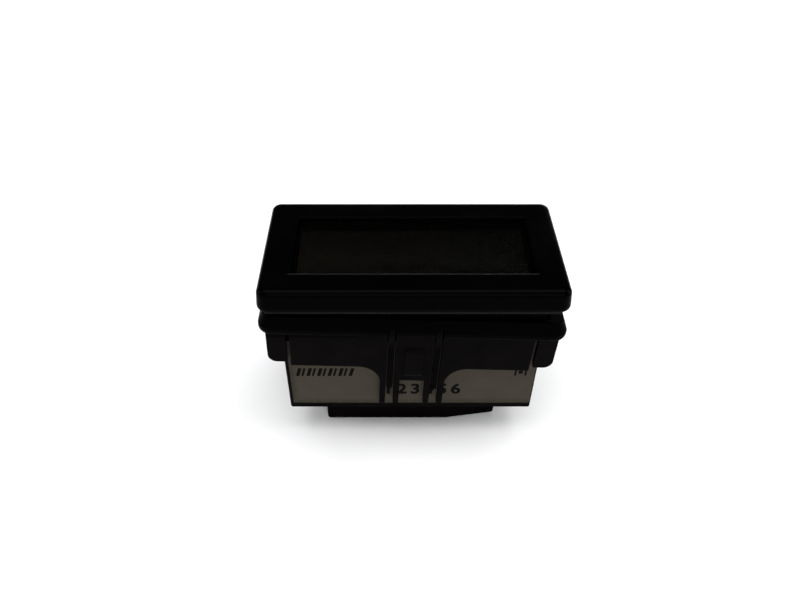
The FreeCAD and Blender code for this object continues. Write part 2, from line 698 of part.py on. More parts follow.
# ---------------------------------------------------------------- case, cover, label
def make_case_body():
    """The square tube that holds everything, with snap windows and board posts."""
    body = new_body("case_body")
    plan = new_sketch(body, "plan", "XY_Plane", d("case_bottom"))
    draw_centred(plan, d("case_long"), d("case_wide"))
    pad(body, plan, bezel_rear - d("case_bottom"))
    round_edges(body, "corners", d("case_corner"), lambda at, way: abs(way.z) > 0.9)
    bore = new_sketch(body, "bore", "XY_Plane", bezel_rear)
    draw_centred(bore, case_in_long, case_in_wide)
    pocket(body, bore, bezel_rear - d("case_bottom") + d("cut_margin"))
    posts = new_sketch(body, "posts", "XY_Plane", d("post_low"))
    side = d("post_side")
    for x_side in (-1, 1):
        for y_side in (-1, 1):
            outer_x = (case_in_long / 2 + d("cut_margin")) * x_side
            outer_y = (case_in_wide / 2 + d("cut_margin")) * y_side
            inner = ((case_in_long / 2 - side) * x_side, (case_in_wide / 2 - side) * y_side)
            draw_rectangle(posts, inner, (outer_x, outer_y))
    pad(body, posts, display_board_low - d("post_low"))
    wide = d("lug_long") / 2 + d("lug_gap")
    windows = new_sketch(body, "windows", "YZ_Plane")
    top = lug_high + d("lug_gap")
    draw_rectangle(windows, (-wide, top - d("lug_tall") - 2 * d("lug_gap")), (wide, top))
    cover_top = d("cover_tab_high") - d("cover_lug_down") + d("lug_gap")
    draw_rectangle(windows, (-wide, cover_top - d("lug_tall") - 2 * d("lug_gap")), (wide, cover_top))
    pocket(body, windows, d("case_long") + d("cut_margin"), both_ways=True)


def make_rear_cover():
    """The plate that closes the case around the terminal block, held by two snap tabs."""
    body = new_body("rear_cover")
    low = d("terminal_board_low") - d("cover_thick")
    rim = new_sketch(body, "rim", "XY_Plane", low)
    draw_centred(rim, d("case_long"), d("case_wide"))
    pad(body, rim, d("cover_rim"))
    round_edges(body, "corners", d("case_corner"), lambda at, way: abs(way.z) > 0.9)
    plug = new_sketch(body, "plug", "XY_Plane", low)
    draw_centred(plug, case_in_long - d("slip"), case_in_wide - d("slip"))
    pad(body, plug, d("cover_thick"))
    tab = new_sketch(body, "tabs", "XY_Plane", low)
    lug_low = d("cover_tab_high") - d("cover_lug_down") - d("lug_tall")
    lug = new_sketch(body, "lugs", "XY_Plane", lug_low)
    half = d("lug_long") / 2
    for side in (-1, 1):
        outer = (case_in_long - d("slip")) / 2 * side
        inner = ((case_in_long - d("slip")) / 2 - d("cover_tab_thick")) * side
        draw_rectangle(tab, (inner, -half), (outer, half))
        tip = (case_in_long / 2 + d("lug_proud")) * side
        draw_rectangle(lug, (inner, -half), (tip, half))
    pad(body, tab, d("cover_tab_high") - low)
    pad(body, lug, d("lug_tall"))
    mouth = new_sketch(body, "mouth", "XY_Plane", low)
    draw_block_outline(mouth, d("cover_gap"))
    pocket(body, mouth, d("cover_thick") + d("cut_margin"), reverse=True)


def make_label():
    label = "rating_label"
    low_x = d("label_shift") - d("label_long") / 2
    low_y = d("case_wide") / -2 - d("label_thick")
    size = (d("label_long"), d("label_thick"), d("label_high") - d("label_low"))
    keep(new_box(label, size, (low_x, low_y, d("label_low"))), label)


# ---------------------------------------------------------------- mounting clip
def make_mounting_clip():
    """The retaining frame: a collar with aprons, end walls, four pairs of prongs and tongues."""
    body = new_body("mounting_clip")
    margin = d("cut_margin")
    collar_low, collar_mid = d("clip_collar_low"), d("clip_flare_high")
    inside_collar = collar_low + d("clip_low_round")
    collar = new_sketch(body, "collar", "XY_Plane", collar_low)
    draw_centred(collar, d("clip_long"), d("clip_wide"))
    pad(body, collar, collar_mid - collar_low)
    flare = new_sketch(body, "flare", "XY_Plane", collar_mid)
    draw_centred(flare, d("clip_long"), d("clip_wide"))
    pad(body, flare, d("clip_top") - collar_mid, draft=d("clip_flare"))
    round_edges(body, "corners", d("clip_corner"), lambda at, way: abs(way.z) > 0.8)
    round_edges(body, "top_round", d("clip_top_round"), lambda at, way: near(at.z, d("clip_top")))
    round_edges(body, "low_round", d("clip_low_round"), lambda at, way: near(at.z, collar_low))

    face = d("apron_face")
    aprons = new_sketch(body, "aprons", "XY_Plane", d("apron_low"))
    draw_centred(aprons, 2 * d("apron_half"), 2 * face)
    pad(body, aprons, inside_collar - d("apron_low"))
    ends = new_sketch(body, "ends", "XY_Plane", d("end_wall_low"))
    inner = d("apron_half") + d("clip_slit")
    for side in (-1, 1):
        draw_rectangle(ends, (inner * side, -face), (d("end_wall_face") * side, face))
    pad(body, ends, inside_collar - d("end_wall_low"))
    shift = d("leg_shift")
    legs = new_sketch(body, "legs", "XY_Plane", d("leg_low"))
    draw_rectangle(legs, (shift - d("leg_half"), -face), (shift + d("leg_half"), face))
    pad(body, legs, d("apron_low") + margin - d("leg_low"))
    pads = new_sketch(body, "pads", "YZ_Plane", shift - d("pad_half"))
    proud, ramp = face + d("pad_proud"), d("pad_ramp")
    for side in (-1, 1):
        draw_outline(pads, [
            ((face - margin) * side, d("pad_high")), (face * side, d("pad_high")),
            (proud * side, d("pad_high") - ramp), (proud * side, d("pad_low") + ramp),
            (face * side, d("pad_low")), ((face - margin) * side, d("pad_low")),
        ])
    pad(body, pads, 2 * d("pad_half"))

    bore = new_sketch(body, "bore", "XY_Plane", d("clip_top"))
    draw_centred(bore, d("case_long") + 2 * d("clip_gap"), d("case_wide") + 2 * d("clip_gap"))
    pocket(body, bore, d("clip_top") - d("leg_low") + margin)
    round_edges(
        body, "end_rounds", d("end_wall_round"),
        lambda at, way: near(at.z, d("end_wall_low")) and near(abs(at.x), d("end_wall_face"))
        and abs(way.y) > 0.9,
    )
    round_edges(
        body, "leg_rounds", d("leg_round"),
        lambda at, way: near(at.z, d("apron_low")) and near(abs(at.x - shift.value), d("leg_half"))
        and abs(way.y) > 0.9,
    )

    gaps = new_sketch(body, "gaps", "XZ_Plane")
    bridge, low = d("bridge_half"), d("leg_low") - margin
    draw_rectangle(gaps, (shift - bridge, low), (shift + bridge, d("bridge_low")))
    channel_in = bridge + d("prong_wide")
    channel_out = d("leg_half") - d("prong_wide")
    for side in (-1, 1):
        inner, outer = shift + channel_in * side, shift + channel_out * side
        draw_rectangle(gaps, (inner, low), (outer, d("channel_top")))
    pocket(body, gaps, d("clip_wide") + margin, both_ways=True)

    outer_face, nose = d("tongue_face"), d("tongue_nose")
    inner_face = outer_face - d("tongue_thick")
    root_high = d("channel_top") + 2 * margin
    root_low = d("channel_top") - d("tongue_chamfer")
    tip, bevel = d("tongue_tip"), d("tongue_chamfer")
    for name, start in (("left", shift - channel_out), ("right", shift + channel_in)):
        tongues = new_sketch(body, f"tongues_{name}", "YZ_Plane", start + d("tongue_gap"))
        for side in (-1, 1):
            draw_outline(tongues, [
                ((outer_face + d("tongue_root")) * side, root_high),
                ((outer_face + d("tongue_root")) * side, root_low),
                (outer_face * side, d("tongue_ramp_low")), (outer_face * side, tip + bevel),
                ((nose + bevel) * side, tip), (nose * side, tip + bevel),
                (nose * side, tip + d("tongue_nose_tall")),
                (inner_face * side, tip + d("tongue_nose_tall") + bevel),
                (inner_face * side, root_high),
            ])
        pad(body, tongues, channel_out - channel_in - 2 * d("tongue_gap"))
    lean(body, d("clip_tilt"), (collar_mid + collar_low) / 2)


# ---------------------------------------------------------------- build, check, write
def check_document():
    """Stops if any feature failed or any sub-part has no valid solid."""
    for item in doc.Objects:
        if "Invalid" in item.State or "Error" in item.State:
            raise RuntimeError(f"{item.Name}: {item.State}")
    for label, item in PARTS.items():
        shape = item.Shape
        if shape.isNull() or not shape.isValid() or not shape.Solids:
            raise RuntimeError(f"{label}: no valid solid")


make_front_bezel()
make_display_lens()
make_seal_and_mask()
make_display()
make_lcd_holder()
make_display_board()
make_chip()
make_small_components()
make_link_pins()
make_cell()
make_cell_tab("cell_tab_positive", cell_right, 1)
make_cell_tab("cell_tab_negative", d("cell_left"), -1)
make_cell_cradle()
make_terminal_board()
make_terminal_block()
make_terminal_pins()
for way in row("way_count"):
    make_cage(way)
    make_screw(way)
make_case_body()
make_rear_cover()
make_label()
make_mounting_clip()

doc.recompute()
check_document()
os.makedirs("parts", exist_ok=True)
for label, item in PARTS.items():
    item.Shape.exportStep(f"parts/{label}.step")
    box = item.Shape.BoundBox
    print(f"{label}: {len(item.Shape.Solids)} solid(s), z {box.ZMin:.2f} to {box.ZMax:.2f}")
print(f"{len(PARTS)} sub-parts written")
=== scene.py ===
"""Looks of the panel-mount counter module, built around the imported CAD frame.

Everything is in metres, in the row frame: X along the face, Y across it, Z up.
"""
import json
import math

import bmesh
import bpy
from mathutils import Matrix, Vector


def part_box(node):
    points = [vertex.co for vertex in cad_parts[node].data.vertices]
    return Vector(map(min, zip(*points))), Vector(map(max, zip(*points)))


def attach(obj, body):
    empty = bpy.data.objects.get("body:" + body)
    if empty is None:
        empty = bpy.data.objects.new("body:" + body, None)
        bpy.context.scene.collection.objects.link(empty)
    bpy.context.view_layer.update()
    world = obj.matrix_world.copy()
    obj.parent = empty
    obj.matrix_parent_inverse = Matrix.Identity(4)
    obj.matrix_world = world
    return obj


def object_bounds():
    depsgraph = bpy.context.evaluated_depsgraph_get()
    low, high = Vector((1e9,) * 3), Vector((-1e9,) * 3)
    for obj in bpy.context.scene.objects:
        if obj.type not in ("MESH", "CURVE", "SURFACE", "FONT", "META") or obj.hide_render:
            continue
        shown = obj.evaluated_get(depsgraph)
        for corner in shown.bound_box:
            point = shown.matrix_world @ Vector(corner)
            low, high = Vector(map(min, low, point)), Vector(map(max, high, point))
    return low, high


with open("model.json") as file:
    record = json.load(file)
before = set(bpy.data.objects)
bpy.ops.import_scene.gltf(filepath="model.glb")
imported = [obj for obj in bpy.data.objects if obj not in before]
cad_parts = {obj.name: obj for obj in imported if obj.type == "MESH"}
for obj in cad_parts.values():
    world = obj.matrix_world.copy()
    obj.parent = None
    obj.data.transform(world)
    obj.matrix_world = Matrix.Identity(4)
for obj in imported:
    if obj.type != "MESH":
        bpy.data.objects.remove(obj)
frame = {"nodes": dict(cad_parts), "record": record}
cad_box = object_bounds()
NODES = frame["nodes"]
BODY_OF = {node: body for body, nodes in frame["record"]["behaviour"]["bodies"].items() for node in nodes}
SLOT_OF = {row["node"]: row["material_slot"] for row in frame["record"]["subparts"]}
MODULE = BODY_OF["case_body"]
MM = 0.001
TERMINALS = 6


# ------------------------------------------------------------------ places read from the frame
class Box:
    """A CAD node's box, with plain names for its sides."""

    def __init__(self, node):
        low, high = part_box(node)
        self.low, self.high = Vector(low), Vector(high)
        self.middle = (self.low + self.high) / 2
        self.size = self.high - self.low


bezel = Box("front_bezel")
film = Box("lcd_front_polariser")
mask = Box("window_mask")
label = Box("rating_label")
cover = Box("rear_cover")
clip = Box("mounting_clip")
block = Box("terminal_block")
screws = [Box(f"terminal_screw_{i}") for i in range(1, TERMINALS + 1)]
FACE = Vector((bezel.middle.x, bezel.middle.y, bezel.high.z))


# ------------------------------------------------------------------ camera, floor and light
CAMERA_FROM_FACE = Vector((-3.85, -90.1, 69.9)) * MM
CAMERA_DOWN = math.radians(42.32)
CAMERA_LENS = 31.97
CAMERA_SHIFT_X = 0.0146
FLOOR_HALF = 6
FLOOR_BELOW = 0.02 * MM
SKY_COLOUR = (0.9, 0.93, 1.0, 1)
SKY_STRENGTH = 0.15
# Each light: name, place, size across and up (metres), watts.
LIGHTS = (
    ("overhead", (0.02, -0.05, 0.75), (0.8, 0.6), 6),
    ("front", (0.1, -0.8, 0.45), (0.7, 0.4), 3),
    ("left", (-0.8, 0.0, 0.4), (0.4, 0.5), 2),
    ("right", (0.8, 0.0, 0.4), (0.4, 0.5), 2.4),
    ("behind", (0.1, 0.8, 0.16), (0.7, 0.2), 4),
)


def make_camera():
    data = bpy.data.cameras.new("camera")
    data.lens = CAMERA_LENS
    data.sensor_width = 36
    data.shift_x = CAMERA_SHIFT_X
    data.clip_start = 0.005
    data.clip_end = 10
    camera = bpy.data.objects.new("camera", data)
    camera.location = FACE + CAMERA_FROM_FACE
    camera.rotation_euler = (math.pi / 2 - CAMERA_DOWN, 0, 0)
    bpy.context.scene.collection.objects.link(camera)
    bpy.context.scene.camera = camera


def add_area_light(name, place, size, watts):
    """A soft white panel that faces the object's middle."""
    data = bpy.data.lights.new(name, "AREA")
    data.shape = "RECTANGLE"
    data.size, data.size_y = size
    data.energy = watts
    light = bpy.data.objects.new(name, data)
    light.location = place
    towards = Vector((0, 0, bezel.middle.z / 2)) - light.location
    light.rotation_euler = towards.to_track_quat("-Z", "Y").to_euler()
    bpy.context.scene.collection.objects.link(light)


def make_studio():
    """A pale floor, one broad panel overhead, weaker ones around the object, and a faint sky."""
    mesh = bpy.data.meshes.new("floor")
    floor_maker = bmesh.new()
    bmesh.ops.create_grid(floor_maker, x_segments=2, y_segments=2, size=FLOOR_HALF)
    floor_maker.to_mesh(mesh)
    floor_maker.free()
    floor = bpy.data.objects.new("floor", mesh)
    floor.location.z = cad_box[0][2] - FLOOR_BELOW
    bpy.context.scene.collection.objects.link(floor)
    floor.data.materials.append(floor_material())
    for name, place, size, watts in LIGHTS:
        add_area_light(name, place, size, watts)
    world = bpy.data.worlds.new("studio")
    world.use_nodes = True
    sky = world.node_tree.nodes["Background"]
    sky.inputs["Color"].default_value = SKY_COLOUR
    sky.inputs["Strength"].default_value = SKY_STRENGTH
    bpy.context.scene.world = world
    bpy.context.scene.view_settings.view_transform = "Standard"


# ------------------------------------------------------------------ material helpers
class Shader:
    """A Principled material under construction, with object coordinates in metres."""

    def __init__(self, name, colour, roughness, specular=0.5, metallic=0.0):
        self.material = bpy.data.materials.new(name)
        self.material.use_nodes = True
        self.tree = self.material.node_tree
        self.bsdf = self.tree.nodes["Principled BSDF"]
        self.set("Base Color", (*colour, 1))
        self.set("Roughness", roughness)
        self.set("Specular IOR Level", specular)
        self.set("Metallic", metallic)
        self.place = self.add("ShaderNodeTexCoord").outputs["Object"]
        self.normal = None

    def set(self, socket, value):
        self.bsdf.inputs[socket].default_value = value

    def add(self, kind, **settings):
        node = self.tree.nodes.new(kind)
        for key, value in settings.items():
            setattr(node, key, value)
        return node

    def link(self, output, target):
        self.tree.links.new(output, target)

    def noise(self, scale, detail=4.0, roughness=0.55, stretch=(1, 1, 1)):
        """Noise whose scale is in features per metre."""
        place = self.place
        if stretch != (1, 1, 1):
            mapping = self.add("ShaderNodeMapping")
            mapping.inputs["Scale"].default_value = stretch
            self.link(self.place, mapping.inputs["Vector"])
            place = mapping.outputs["Vector"]
        node = self.add("ShaderNodeTexNoise")
        node.inputs["Scale"].default_value = scale
        node.inputs["Detail"].default_value = detail
        node.inputs["Roughness"].default_value = roughness
        self.link(place, node.inputs["Vector"])
        return node.outputs["Fac"]

    def cells(self, scale):
        """Distance to the nearest cell point, with the scale in cells per metre."""
        node = self.add("ShaderNodeTexVoronoi", feature="F1")
        node.inputs["Scale"].default_value = scale
        self.link(self.place, node.inputs["Vector"])
        return node.outputs["Distance"]

    def fit(self, value, low, high, to_low=0.0, to_high=1.0):
        """Maps a value from one range to another, clamped."""
        node = self.add("ShaderNodeMapRange", clamp=True)
        for key, number in zip(("From Min", "From Max", "To Min", "To Max"), (low, high, to_low, to_high)):
            node.inputs[key].default_value = number
        self.link(value, node.inputs["Value"])
        return node.outputs["Result"]

    def calculate(self, operation, first, second):
        """One sum on two values; each is a number or an output."""
        node = self.add("ShaderNodeMath", operation=operation)
        for index, value in enumerate((first, second)):
            if isinstance(value, (int, float)):
                node.inputs[index].default_value = value
            else:
                self.link(value, node.inputs[index])
        return node.outputs["Value"]

    def times(self, first, second):
        return self.calculate("MULTIPLY", first, second)

    def plus(self, first, second):
        return self.calculate("ADD", first, second)

    def larger(self, first, second):
        return self.calculate("MAXIMUM", first, second)

    def axis(self, name):
        """One object coordinate, by its letter."""
        node = self.add("ShaderNodeSeparateXYZ")
        self.link(self.place, node.inputs["Vector"])
        return node.outputs[name]

    def blend_colour(self, factor, first, second):
        """Mixes two colours; each is a tuple or an output."""
        node = self.add("ShaderNodeMix", data_type="RGBA")
        self.link(factor, node.inputs["Factor"])
        for socket, value in zip((node.inputs[6], node.inputs[7]), (first, second)):
            if isinstance(value, tuple):
                socket.default_value = (*value, 1)
            else:
                self.link(value, socket)
        return node.outputs[2]

    def colour_from(self, output):
        self.link(output, self.bsdf.inputs["Base Color"])

    def roughness_from(self, output):
        self.link(output, self.bsdf.inputs["Roughness"])

    def bump(self, height, depth):
        """Adds a relief of the given depth in metres; calls stack."""
        node = self.add("ShaderNodeBump")
        node.inputs["Strength"].default_value = 1.0
        node.inputs["Distance"].default_value = depth
        self.link(height, node.inputs["Height"])
        if self.normal is not None:
            self.link(self.normal, node.inputs["Normal"])
        self.normal = node.outputs["Normal"]
        self.link(self.normal, self.bsdf.inputs["Normal"])


# Depths on the pieces where their looks change, measured from the piece's own box.
BEZEL_EDGE_TOP = 0.15 * MM
BEZEL_EDGE_DEPTH = 0.9 * MM
# The collar, skirt, prong and slot depths mark where the clip's colour is painted darker as shade.
COLLAR_DEPTH = 4.2 * MM
SKIRT_DEPTH = 4.6 * MM
PRONG_DEPTH = 1.0 * MM
SLOT_DEPTH = 1.25 * MM
GRIME_RISE = 1.4 * MM
GRIME_WIDE = 1.2 * MM
SLEEVE_FADE = 0.2 * MM


def floor_material():
    shader = Shader("floor_paper", (0.9, 0.9, 0.9), 0.95, 0.05)
    shader.colour_from(shader.blend_colour(shader.noise(9, 2), (0.89, 0.89, 0.89), (0.92, 0.92, 0.92)))
    return shader.material


def moulded_plastic(name, colour, worn, roughness, specular, grain, depth):
    """Black moulding: eroded tool texture, slight colour drift, handling marks and a little dust."""
    shader = Shader(name, colour, roughness, specular)
    drift = shader.fit(shader.noise(160, 3), 0.35, 0.7)
    rubbed = shader.fit(shader.noise(900, 6, 0.7), 0.55, 0.78)
    mixed = shader.blend_colour(shader.times(drift, 0.6), colour, worn)
    shader.colour_from(shader.blend_colour(shader.times(rubbed, 0.25), mixed, worn))
    smooth = max(roughness - 0.08, 0.05)
    shader.roughness_from(shader.fit(shader.noise(420, 5), 0.3, 0.7, smooth, roughness + 0.1))
    shader.bump(shader.noise(grain, 3, 0.6), depth)
    shader.bump(shader.noise(grain / 14, 2), depth * 2)
    return shader.material


def gloss_bezel(name):
    """Polished black face with hairline scratches and a faint satin on its edges."""
    base, worn = (0.0002, 0.0002, 0.0002), (0.0009, 0.0008, 0.0008)
    shader = Shader(name, base, 0.2, 0.012)
    scratch = shader.noise(520, 2, 0.5, stretch=(0.08, 3.2, 1.0))
    lines = shader.fit(scratch, 0.66, 0.72)
    cross = shader.fit(shader.noise(480, 2, 0.5, stretch=(2.6, 0.1, 1.0)), 0.68, 0.74)
    marks = shader.larger(lines, cross)
    top = bezel.high.z
    edge = shader.fit(shader.axis("Z"), top - BEZEL_EDGE_DEPTH, top - BEZEL_EDGE_TOP, 1.0, 0.0)
    shader.colour_from(shader.blend_colour(shader.times(marks, 0.5), base, worn))
    smudge = shader.fit(shader.noise(70, 4, 0.6), 0.35, 0.7, 0.11, 0.26)
    shader.roughness_from(shader.plus(smudge, shader.times(edge, 0.12)))
    shader.bump(marks, 0.004 * MM)
    shader.bump(shader.noise(5200, 2), 0.0022 * MM)
    return shader.material


def clip_plastic(name):
    """The clip's moulding: a satin skirt, with the collar above it and the recessed slots between the prongs
    coloured near-black as painted shade.
    """
    shader = Shader(name, (0.0009, 0.0007, 0.0007), 0.5, 0.012)
    top, front = clip.high.z, clip.low.y
    skirt = shader.fit(shader.axis("Z"), top - SKIRT_DEPTH, top - COLLAR_DEPTH, 1.0, 0.0)
    proud = shader.fit(shader.axis("Y"), front + PRONG_DEPTH, front + SLOT_DEPTH, 1.0, 0.0)
    # Mask of the proud skirt; the collar under the bezel and the recessed slots fall outside it and get
    # painted shade.
    unshaded_mask = shader.times(skirt, proud)
    drift = shader.fit(shader.noise(160, 3), 0.35, 0.7)
    satin = shader.blend_colour(drift, (0.0016, 0.0012, 0.0013), (0.0028, 0.0021, 0.0022))
    # Painted shade: near-black where the mask is off, the clip's satin tone where it is on.
    shader.colour_from(shader.blend_colour(unshaded_mask, (0.0003, 0.0002, 0.0002), satin))
    shader.roughness_from(shader.fit(shader.noise(420, 5), 0.3, 0.7, 0.42, 0.6))
    shader.bump(shader.noise(3200, 3, 0.6), 0.014 * MM)
    shader.bump(shader.noise(230, 2), 0.028 * MM)
    return shader.material


def clear_lens(name):
    """Clear window with hairline scratches, weak in reflection so that the display stays dark."""
    shader = Shader(name, (0.93, 0.94, 0.93), 0.03, 0.1)
    shader.set("IOR", 1.06)
    shader.set("Transmission Weight", 1.0)
    scratch = shader.fit(shader.noise(700, 2, 0.5, stretch=(0.1, 2.8, 1)), 0.68, 0.74)
    shader.roughness_from(shader.fit(scratch, 0, 1, 0.02, 0.16))
    shader.bump(scratch, 0.003 * MM)
    return shader.material


def display_film(name, dark, light):
    """An unpowered display: dark film with a slow colour cast and the fine pitch of its electrodes."""
    shader = Shader(name, dark, 0.4, 0.02)
    cast = shader.fit(shader.axis("X"), film.low.x, film.high.x)
    patch = shader.fit(shader.noise(110, 3), 0.35, 0.68)
    warm = (dark[0] * 1.9, dark[1] * 0.9, dark[2] * 0.8)
    tint = shader.blend_colour(cast, warm, dark)
    shader.colour_from(shader.blend_colour(shader.times(patch, 0.55), tint, light))
    shader.roughness_from(shader.fit(shader.noise(1500, 3), 0.3, 0.7, 0.26, 0.42))
    shader.bump(shader.noise(9000, 2), 0.002 * MM)
    return shader.material


def printed_film(name, paper, shade):
    """The label: coated paper with a slight mottle, dirt near its edges and fine fibre."""
    shader = Shader(name, paper, 0.62, 0.03)
    mottle = shader.fit(shader.noise(260, 5, 0.65), 0.3, 0.72)
    stain = shader.fit(shader.noise(75, 3), 0.45, 0.8)
    low = shader.fit(shader.axis("Z"), label.low.z, label.low.z + GRIME_RISE, 1.0, 0.0)
    left = shader.fit(shader.axis("X"), label.low.x, label.low.x + GRIME_WIDE, 1.0, 0.0)
    grime = shader.times(shader.larger(low, left), shader.noise(1400, 4))
    tone = shader.blend_colour(shader.times(mottle, 0.5), paper, shade)
    warm = (paper[0] * 1.12, paper[1], paper[2] * 0.9)
    tone = shader.blend_colour(shader.times(stain, 0.3), tone, warm)
    shader.colour_from(shader.blend_colour(shader.times(grime, 0.9), tone, (0.012, 0.011, 0.01)))
    shader.roughness_from(shader.fit(mottle, 0, 1, 0.52, 0.7))
    shader.bump(shader.noise(3800, 4, 0.7, stretch=(0.4, 1, 1.6)), 0.006 * MM)
    return shader.material


def ink(name, colour):
    """Printing ink, slightly thin in places."""
    shader = Shader(name, colour, 0.6, 0.02)
    thin = shader.fit(shader.noise(5200, 3), 0.52, 0.75)
    faded = tuple(channel * 3 for channel in colour)
    shader.colour_from(shader.blend_colour(shader.times(thin, 0.5), colour, faded))
    shader.bump(shader.noise(7000, 2), 0.003 * MM)
    return shader.material


def foam_rubber(name):
    """Closed-cell seal: tiny pores and a dull black."""
    shader = Shader(name, (0.004, 0.004, 0.004), 0.85, 0.12)
    pores = shader.fit(shader.cells(3600), 0.05, 0.5)
    shader.colour_from(shader.blend_colour(pores, (0.002, 0.002, 0.002), (0.008, 0.0078, 0.0075)))
    shader.bump(pores, 0.03 * MM)
    return shader.material


def plated_steel(name, colour, roughness):
    """Zinc or tin plate: fine tooling lines, passivation tint and light handling marks."""
    shader = Shader(name, colour, roughness, 0.5, 1.0)
    tint = shader.fit(shader.noise(700, 3), 0.3, 0.7)
    warm = (colour[0] * 1.02, colour[1] * 0.94, colour[2] * 0.78)
    shader.colour_from(shader.blend_colour(shader.times(tint, 0.7), colour, warm))
    shader.roughness_from(shader.fit(shader.noise(2600, 5), 0.3, 0.7, roughness - 0.08, roughness + 0.16))
    shader.bump(shader.noise(2400, 2, 0.5, stretch=(1, 1, 9)), 0.004 * MM)
    return shader.material


def solder_mask(name):
    """Green laminate with traces raised under the mask."""
    shader = Shader(name, (0.012, 0.09, 0.035), 0.32, 0.45)
    brick = shader.add("ShaderNodeTexBrick")
    brick.inputs["Scale"].default_value = 420
    brick.inputs["Mortar Size"].default_value = 0.08
    shader.link(shader.place, brick.inputs["Vector"])
    traces = brick.outputs["Fac"]
    shader.colour_from(shader.blend_colour(traces, (0.012, 0.09, 0.035), (0.03, 0.16, 0.06)))
    shader.bump(traces, 0.02 * MM)
    return shader.material


def banded_rubber(name):
    """Contact strip: thin conductive layers between clear ones, across its length."""
    shader = Shader(name, (0.3, 0.27, 0.24), 0.6, 0.2)
    wave = shader.add("ShaderNodeTexWave", wave_type="BANDS", bands_direction="X")
    wave.inputs["Scale"].default_value = 900
    shader.link(shader.place, wave.inputs["Vector"])
    shader.colour_from(shader.blend_colour(wave.outputs["Fac"], (0.42, 0.38, 0.34), (0.02, 0.02, 0.02)))
    shader.bump(wave.outputs["Fac"], 0.01 * MM)
    return shader.material


def printed_sleeve(name):
    """The cell's shrink sleeve: two plain colour bands and tiny wrinkles."""
    shader = Shader(name, (0.03, 0.16, 0.06), 0.25, 0.5)
    cell = Box("lithium_cell")
    band = shader.fit(shader.axis("X"), cell.middle.x - SLEEVE_FADE, cell.middle.x + SLEEVE_FADE)
    shader.colour_from(shader.blend_colour(band, (0.55, 0.56, 0.55), (0.03, 0.16, 0.06)))
    shader.bump(shader.noise(1800, 4, 0.6, stretch=(3, 1, 1)), 0.02 * MM)
    return shader.material


def mottled(name, colour, roughness, specular, grain, depth):
    """Small plain components: a body colour with grain."""
    shader = Shader(name, colour, roughness, specular)
    lighter = tuple(min(1.0, channel * 1.5 + 0.004) for channel in colour)
    shader.colour_from(shader.blend_colour(shader.fit(shader.noise(grain, 4), 0.3, 0.7), colour, lighter))
    shader.bump(shader.noise(grain * 2, 3), depth)
    return shader.material


def thin_glass(name):
    """The display's glass sheets, almost clean."""
    shader = Shader(name, (0.7, 0.78, 0.72), 0.04, 0.5)
    shader.set("Transmission Weight", 1.0)
    shader.set("IOR", 1.52)
    shader.roughness_from(shader.fit(shader.noise(800, 3), 0.4, 0.7, 0.02, 0.08))
    return shader.material


def make_materials():
    """One finished material for each of the record's slots."""
    return {
        "bezel_plastic": gloss_bezel("bezel_plastic"),
        "lens_clear": clear_lens("lens_clear"),
        "mask_black": mottled("mask_black", (0.0002, 0.0002, 0.0002), 0.5, 0.01, 3000, 0.002 * MM),
        "seal_rubber": foam_rubber("seal_rubber"),
        "polariser": display_film("polariser", (0.0011, 0.0010, 0.0005), (0.0022, 0.0021, 0.0012)),
        "polariser_rear": display_film("polariser_rear", (0.05, 0.055, 0.035), (0.07, 0.075, 0.05)),
        "lcd_glass": thin_glass("lcd_glass"),
        "zebra_rubber": banded_rubber("zebra_rubber"),
        "case_plastic": moulded_plastic(
            "case_plastic", (0.0008, 0.0006, 0.0005), (0.002, 0.0016, 0.0014),
            0.5, 0.015, 3800, 0.012 * MM),
        "clip_plastic": clip_plastic("clip_plastic"),
        "block_plastic": moulded_plastic(
            "block_plastic", (0.0009, 0.0004, 0.0003), (0.0019, 0.0010, 0.0009),
            0.5, 0.012, 3500, 0.012 * MM),
        "board_green": solder_mask("board_green"),
        "chip_epoxy": mottled("chip_epoxy", (0.012, 0.012, 0.013), 0.55, 0.3, 5000, 0.008 * MM),
        "capacitor_ceramic": mottled("capacitor_ceramic", (0.35, 0.22, 0.11), 0.5, 0.4, 6000, 0.004 * MM),
        "tin_leads": plated_steel("tin_leads", (0.62, 0.62, 0.6), 0.3),
        "cell_sleeve": printed_sleeve("cell_sleeve"),
        "cage_steel": plated_steel("cage_steel", (0.55, 0.55, 0.53), 0.35),
        "screw_steel": plated_steel("screw_steel", (0.6, 0.58, 0.52), 0.28),
        "label_film": printed_film("label_film", (0.054, 0.047, 0.036), (0.045, 0.040, 0.031)),
    }


# ------------------------------------------------------------------ mesh helpers
def new_piece(name, maker, body, material):
    """Turns a bmesh into a piece that rides on a CAD body."""
    bmesh.ops.recalc_face_normals(maker, faces=maker.faces)
    mesh = bpy.data.meshes.new(name)
    maker.to_mesh(mesh)
    maker.free()
    piece = bpy.data.objects.new(name, mesh)
    piece.data.materials.append(material)
    bpy.context.scene.collection.objects.link(piece)
    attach(piece, body)


def add_prism(maker, outline, to_place, depth):
    """A closed prism over a flat outline; to_place maps (u, v, height) to the row frame."""
    count = len(outline)
    lower, upper = [[maker.verts.new(to_place(u, v, height)) for u, v in outline] for height in (0.0, depth)]
    for i in range(count):
        after = (i + 1) % count
        maker.faces.new((lower[i], lower[after], upper[after], upper[i]))
    maker.faces.new(list(reversed(lower)))
    maker.faces.new(upper)


def rounded_bar(x, y, long, wide, radius, steps=5):
    """Outline of a rectangle with round corners, centred on (x, y)."""
    points = []
    for corner, (sx, sy) in enumerate(((1, 1), (-1, 1), (-1, -1), (1, -1))):
        cx = x + sx * (long / 2 - radius)
        cy = y + sy * (wide / 2 - radius)
        for step in range(steps + 1):
            angle = math.pi / 2 * (corner + step / steps)
            points.append((cx + radius * math.cos(angle), cy + radius * math.sin(angle)))
    return points


